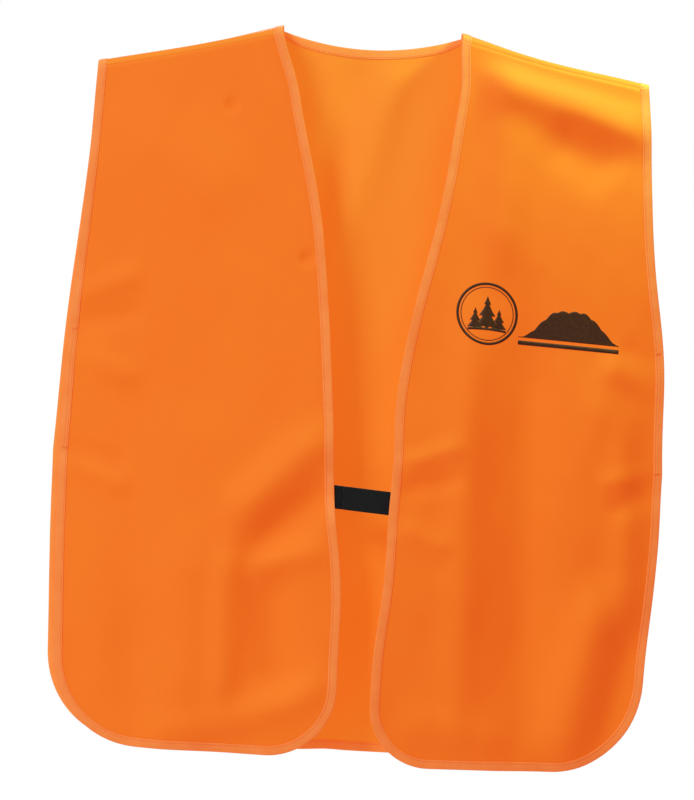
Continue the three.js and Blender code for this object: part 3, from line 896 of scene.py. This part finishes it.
def make_print(material):
    """A round badge with three pines, beside a low ridge over a bar."""
    surface = Surface()
    badge_u, badge_v = BADGE
    for inner, outer in RINGS:
        add_ring(surface, badge_u, badge_v, inner, outer)
    for offset, height in PINES:
        add_pine(surface, badge_u + offset, badge_v + PINE_FOOT, height)
    ground = np.linspace(-GROUND_HALF, GROUND_HALF, 40)
    add_band(surface, badge_u + ground, badge_v - 14.1 - GROUND_BEND * ground**2,
             badge_u + ground, badge_v - 12.0 - GROUND_BEND * ground**2, rows=2)
    u = np.linspace(RIDGE_START, RIDGE_END, 160)
    share = (u - RIDGE_START) / (RIDGE_END - RIDGE_START)
    ridge = 24 * bump(share * 1.25 - 0.02) + 17 * bump(share * 1.7 - 0.72)
    ridge += 1.6 * np.abs(np.sin(u / 3.1)) * np.minimum(1, 6 * share * (1 - share))
    add_band(surface, u, 0 * u + RIDGE_FOOT, u, RIDGE_FOOT + 0.4 + ridge, rows=20)
    add_band(surface, u, 0 * u + BAR[0], u, 0 * u + BAR[1], rows=3)
    return sheet_object("front_print", surface, PRINT_THICK, material)


# ---- materials ----

# The cloth fresh, worn and between its threads.
ORANGES = ((0.30, 0.185, 0.011), (0.31, 0.197, 0.012), (0.25, 0.14, 0.008))
ORANGE_GLOW = (0.63, 0.018, 0.0)  # painted glow, the same under any light, standing in for the orange's fluorescence; it keeps the cloth bright in its shade
BACK_GLOW = (0.70, 0.117, 0.009)  # painted glow standing in for light that would come through the thin back; stronger than the fronts', it lightens the back's shaded inside
# painted glow of the binding tapes; the back's tapes get more, a painted-light copy that lightens their
# shade
TAPE_GLOW, BACK_TAPE_GLOW = (0.62, 0.032, 0.008), (0.64, 0.070, 0.010)
# painted glow of the orange thread
THREAD_GLOW = (0.58, 0.02, 0.002)
BACK_SHADE_SHARE = 0.8  # painted shade: the back's copy of the same cloth takes this share of the fronts' base colour
WEAVE = 0.62  # pitch of the cloth's threads
TWIST = 0.35  # pitch of a sewing thread's twist


class Shading:
    """Nodes of one procedural material around its Principled shader."""

    def __init__(self, name, roughness, sheen=0.0, glow=None):
        self.material = bpy.data.materials.new(name)
        self.material.use_nodes = True
        self.tree = self.material.node_tree
        self.shader = self.tree.nodes["Principled BSDF"]
        self.set("Roughness", roughness)
        self.set("Specular IOR Level", 0.25)
        if sheen:
            self.set("Sheen Weight", sheen)
            self.set("Sheen Roughness", 0.4)
        # a painted glow: emission, though the piece is no lamp
        if glow:
            self.set("Emission Color", (*glow, 1))
            self.set("Emission Strength", 1.0)
        self.flat = self.node("ShaderNodeUVMap", uv_map="flat").outputs["UV"]
        self.place = self.node("ShaderNodeTexCoord").outputs["Object"]

    def node(self, kind, **settings):
        made = self.tree.nodes.new(kind)
        for key, value in settings.items():
            setattr(made, key, value)
        return made

    def set(self, socket, value):
        self.shader.inputs[socket].default_value = value

    def link(self, source, target):
        self.tree.links.new(source, target)

    def noise(self, scale, detail=2.0, where=None):
        made = self.node("ShaderNodeTexNoise")
        made.inputs["Scale"].default_value = scale
        made.inputs["Detail"].default_value = detail
        self.link(where or self.place, made.inputs["Vector"])
        return made.outputs["Fac"]

    def threads(self, direction, pitch):
        """Ridges a pitch apart, in millimetres, over the cloth's flat layout."""
        made = self.node("ShaderNodeTexWave", wave_type="BANDS", bands_direction=direction)
        made.inputs["Scale"].default_value = 2 * math.pi / (20 * pitch * MM)
        self.link(self.flat, made.inputs["Vector"])
        return made.outputs["Fac"]

    def math(self, operation, a, b):
        made = self.node("ShaderNodeMath", operation=operation)
        for socket, value in zip(made.inputs, (a, b)):
            if isinstance(value, (int, float)):
                socket.default_value = value
            else:
                self.link(value, socket)
        return made.outputs["Value"]

    def mix(self, fac, a, b):
        """A colour between a and b, each a colour or another mix."""
        made = self.node("ShaderNodeMix", data_type="RGBA")
        for socket, value in ((made.inputs[6], a), (made.inputs[7], b)):
            if isinstance(value, tuple):
                socket.default_value = (*value, 1)
            else:
                self.link(value, socket)
        self.link(fac, made.inputs[0])
        return made.outputs[2]

    def spread(self, value, low, high, to_low=0.0, to_high=1.0):
        made = self.node("ShaderNodeMapRange")
        self.link(value, made.inputs["Value"])
        for key, number in (("From Min", low), ("From Max", high), ("To Min", to_low), ("To Max", to_high)):
            made.inputs[key].default_value = number
        return made.outputs["Result"]

    def bump(self, height, strength, distance, under=None):
        made = self.node("ShaderNodeBump")
        made.inputs["Strength"].default_value = strength
        made.inputs["Distance"].default_value = distance * MM
        self.link(height, made.inputs["Height"])
        if under:
            self.link(under, made.inputs["Normal"])
        return made.outputs["Normal"]

    def finish(self, colour, normal):
        self.link(colour, self.shader.inputs["Base Color"])
        self.link(normal, self.shader.inputs["Normal"])
        return self.material


def cloth_material(name, glow, base_share=1.0):
    """Thin plain-woven polyester, dyed blaze orange, with a painted glow, and for the back a copy with
    painted shade.
    """
    s = Shading(name, roughness=0.78, sheen=0.05, glow=glow)
    fresh, worn, gap = (tuple(base_share * c for c in colour) for colour in ORANGES)
    weave = s.math("MULTIPLY", s.threads("X", WEAVE), s.threads("Y", WEAVE))
    slub = s.noise(900, 3, s.flat)
    cloudy = s.spread(s.noise(14, 3), 0.3, 0.7)
    colour = s.mix(s.math("MULTIPLY", weave, 0.28), s.mix(cloudy, fresh, worn), gap)
    creased = s.bump(s.noise(55, 4), 0.12, 1.2)
    woven = s.bump(s.math("ADD", weave, s.math("MULTIPLY", slub, 0.6)), 0.35, 0.12, creased)
    return s.finish(colour, woven)


def tape_material(name, glow):
    """Binding tape: a closer weave with ribs across it, a little paler than the cloth."""
    s = Shading(name, roughness=0.7, sheen=0.08, glow=glow)
    ribs = s.math("ADD", s.threads("X", 0.55), s.math("MULTIPLY", s.threads("Y", 0.4), 0.5))
    cloudy = s.spread(s.noise(60, 3), 0.35, 0.65)
    colour = s.mix(cloudy, (0.30, 0.222, 0.038), (0.33, 0.255, 0.053))
    normal = s.bump(ribs, 0.4, 0.1, s.bump(s.noise(380, 2), 0.35, 0.3))
    return s.finish(colour, normal)


def thread_material(name, dark, light, sheen=0.0, glow=None):
    """Twisted sewing thread."""
    s = Shading(name, roughness=0.5, sheen=sheen, glow=glow)
    twist = s.threads("DIAGONAL", TWIST)
    return s.finish(s.mix(twist, dark, light), s.bump(twist, 0.5, 0.06))


def black_tape_material():
    s = Shading("black_tape_look", roughness=0.82, sheen=0.25)
    ribs = s.threads("Y", 1.1)
    lint = s.spread(s.noise(700, 2), 0.55, 0.8, 0.0, 0.6)
    colour = s.mix(lint, (0.003, 0.0033, 0.004), (0.011, 0.012, 0.0135))
    normal = s.bump(ribs, 0.5, 0.2, s.bump(s.noise(1500, 2), 0.5, 0.3))
    return s.finish(colour, normal)


def hook_material():
    """Clear-ended nylon hooks and the brushed loops that they catch."""
    s = Shading("fastener_look", roughness=0.45)
    colour = s.mix(s.noise(1200, 2), (0.012, 0.013, 0.015), (0.05, 0.052, 0.056))
    return s.finish(colour, s.bump(s.noise(2500, 2), 0.2, 0.05))


def ink_material():
    s = Shading("ink_look", roughness=0.55)
    weave = s.math("MULTIPLY", s.threads("X", WEAVE), s.threads("Y", WEAVE))
    mottled = s.mix(s.spread(s.noise(500, 3), 0.4, 0.75), (0.052, 0.015, 0.004), (0.085, 0.026, 0.006))
    return s.finish(mottled, s.bump(weave, 0.3, 0.08))


# ---- camera, light and floor ----

VIEW_CENTRE = (-8.5, 0.0, -317.0)
VIEW_HEIGHT = 691.0  # seen from edge to edge at the vest
VIEW_DISTANCE = 2200.0
VIEW_ROLL = math.radians(2.5)  # the vest hangs a little askew
LIT, SEEN = 0.25, 1.0  # the world's strength as a light, and as the pale backdrop
MIDDLE = (0.0, 0.0, -0.32)  # metres, as are the lamps' places and the floor
WHITE, YELLOW = (1.0, 1.0, 1.0), (0.7, 1.0, 0.45)
LAMPS = (  # name, place, size, power, what it points at, colour
    ("key", (-2.4, -2.6, 2.4), 1.4, 138, MIDDLE, WHITE),
    ("shoulder", (0.28, -0.09, 0.17), 0.07, 1.6, (0.20, 0.0, -0.06), YELLOW),
    ("back", (-0.6, 2.2, 0.9), 0.8, 24, MIDDLE, WHITE),
)
FLOOR_HALF, FLOOR_LEVEL = 2.5, -1.3


def make_camera():
    data = bpy.data.cameras.new("camera")
    data.lens = data.sensor_width * VIEW_DISTANCE / VIEW_HEIGHT
    camera = bpy.data.objects.new("camera", data)
    x, y, z = VIEW_CENTRE
    camera.location = (x * MM, (y - VIEW_DISTANCE) * MM, z * MM)
    camera.rotation_euler = (math.pi / 2, -VIEW_ROLL, 0)
    bpy.context.scene.collection.objects.link(camera)
    bpy.context.scene.camera = camera


def make_lamp(name, place, size, power, target, colour):
    data = bpy.data.lights.new(name, "AREA")
    data.size, data.energy, data.color = size, power, colour
    lamp = bpy.data.objects.new(name, data)
    lamp.location = place
    aim = Vector(target) - lamp.location
    lamp.rotation_euler = aim.to_track_quat("-Z", "Y").to_euler()
    bpy.context.scene.collection.objects.link(lamp)


def make_studio():
    world = bpy.data.worlds.new("studio")
    world.use_nodes = True
    nodes, links = world.node_tree.nodes, world.node_tree.links
    lit, seen = nodes["Background"], nodes.new("ShaderNodeBackground")
    for background, strength in ((lit, LIT), (seen, SEEN)):
        background.inputs["Color"].default_value = (1, 1, 1, 1)
        background.inputs["Strength"].default_value = strength
    choice = nodes.new("ShaderNodeMixShader")
    links.new(nodes.new("ShaderNodeLightPath").outputs["Is Camera Ray"], choice.inputs[0])
    links.new(lit.outputs[0], choice.inputs[1])
    links.new(seen.outputs[0], choice.inputs[2])
    links.new(choice.outputs[0], nodes["World Output"].inputs["Surface"])
    bpy.context.scene.world = world
    bpy.context.scene.view_settings.view_transform = "Standard"
    for lamp in LAMPS:
        make_lamp(*lamp)


def make_floor():
    mesh = bpy.data.meshes.new("floor")
    half, low = FLOOR_HALF, FLOOR_LEVEL
    mesh.from_pydata([(-half, -half, low), (half, -half, low), (half, half, low), (-half, half, low)],
                     [], [(0, 1, 2, 3)])
    floor = bpy.data.objects.new("floor", mesh)
    bpy.context.scene.collection.objects.link(floor)
    material = bpy.data.materials.new("floor_look")
    material.use_nodes = True
    material.node_tree.nodes["Principled BSDF"].inputs["Base Color"].default_value = (0.85, 0.85, 0.84, 1)
    mesh.materials.append(material)


# ---- the vest ----


def dress(obj, body, slot, *nodes):
    """Gives a piece its body, or for a front bakes its place into its mesh, and hides the solids it stands
    for; slot is not used.
    """
    if body in SIDES:
        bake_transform(obj)
    else:
        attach(obj, body)
    if nodes:
        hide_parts(*nodes)
    return obj


def bound(edges, body, tape, thread):
    """The tapes and stitches of edges by name, each with the names of the solids' parts it stands for."""
    return [
        dress(make(f"{name}_{piece}", edge, look), body, slot, *(f"{part}_{solid}" for part in parts))
        for make, piece, look, slot, solid in (
            (make_tape, "tape", tape, "binding_tape", "binding"),
            (make_edge_stitches, "stitches", thread, "orange_thread", "stitching"),
        )
        for name, (edge, parts) in edges.items()
    ]


def build_back(cloth, tape, thread):
    edge, neck = back_bound_edge(), back_neck_edge()
    back = dress(make_back_cloth(cloth), "vest", "orange_cloth", "back_panel")
    edges = {"back_edge": (edge, ["back_edge"]), "back_neck": (neck, ["back_neck"])}
    pieces = bound(edges, "vest", tape, thread)
    return edge


def build_front(side, back_edge, cloth, tape, thread, extra):
    name = SIDE_NAMES[side]
    edge = front_bound_edge(side)
    panel = dress(make_front_cloth(side, cloth), side, "orange_cloth",
                  f"{name}_front_panel", f"{name}_shoulder_panel")
    parts = [f"{name}_{part}" for part in ("front", "neck", "armhole")]
    pieces = bound({f"{name}_front": (edge, parts)}, side, tape, thread) + extra
    dress(make_shoulder_seam(side, thread), "vest", "orange_thread", f"{name}_shoulder_seam")
    dress(make_side_seam(side, edge, back_edge, thread), "vest", "orange_thread", f"{name}_side_seam")


def build_straps(black, black_thread, fastener):
    hook = make_strap("hook_tape", HOOK_TIP, STRAP_EDGE + STRAP_SEWN, hook_strap_y, black)
    hooks = make_field("hook_field", HOOK_TIP, STRAP_EDGE - 4, hook_strap_y, 1, HOOK_SHAPE, 1.5, 0.1,
                       fastener, seed=3)
    for obj, nodes in ((hook, ("hook_strap", "hook_strap_sewn_end")), (hooks, ())):
        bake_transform(obj)
        if nodes:
            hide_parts(*nodes)
    loop = make_strap("loop_tape", LOOP_TIP, -STRAP_EDGE - STRAP_SEWN, loop_strap_y, black)
    pile = make_field("loop_field", LOOP_STEP[1], LOOP_TIP, loop_strap_y, -1, PILE_SHAPE, 1.1, 0.07,
                      fastener, seed=5)
    dress(loop, "right_front", "black_tape", "loop_strap")
    dress(pile, "right_front", "black_tape")
    for name, side, y_of in (("hook_strap", LEFT, hook_strap_y), ("loop_strap", RIGHT, loop_strap_y)):
        dress(make_strap_stitches(f"{name}_stitches", side, y_of, black_thread),
              f"{SIDE_NAMES[side]}_front", "black_thread", f"{name}_stitching")


def main():
    make_camera()
    make_studio()
    make_floor()
    cloth = cloth_material("front_cloth_look", ORANGE_GLOW)
    # the back's own copy of the cloth, with more painted glow and a painted-shade share of the base colour
    back_cloth = cloth_material("back_cloth_look", BACK_GLOW, BACK_SHADE_SHARE)
    tape = tape_material("binding_tape_look", TAPE_GLOW)
    # the back's tapes, with a stronger painted glow than the fronts'
    back_tape = tape_material("back_tape_look", BACK_TAPE_GLOW)
    thread = thread_material("orange_thread_look", (0.22, 0.12, 0.015), (0.33, 0.22, 0.04), 0.1, THREAD_GLOW)
    back_edge = build_back(back_cloth, back_tape, thread)
    printed = dress(make_print(ink_material()), LEFT, "orange_cloth")
    build_front(LEFT, back_edge, cloth, tape, thread, [printed])
    build_front(RIGHT, back_edge, cloth, tape, thread, [])
    black_thread = thread_material("black_thread_look", (0.006, 0.006, 0.007), (0.03, 0.03, 0.033))
    build_straps(black_tape_material(), black_thread, hook_material())


main()
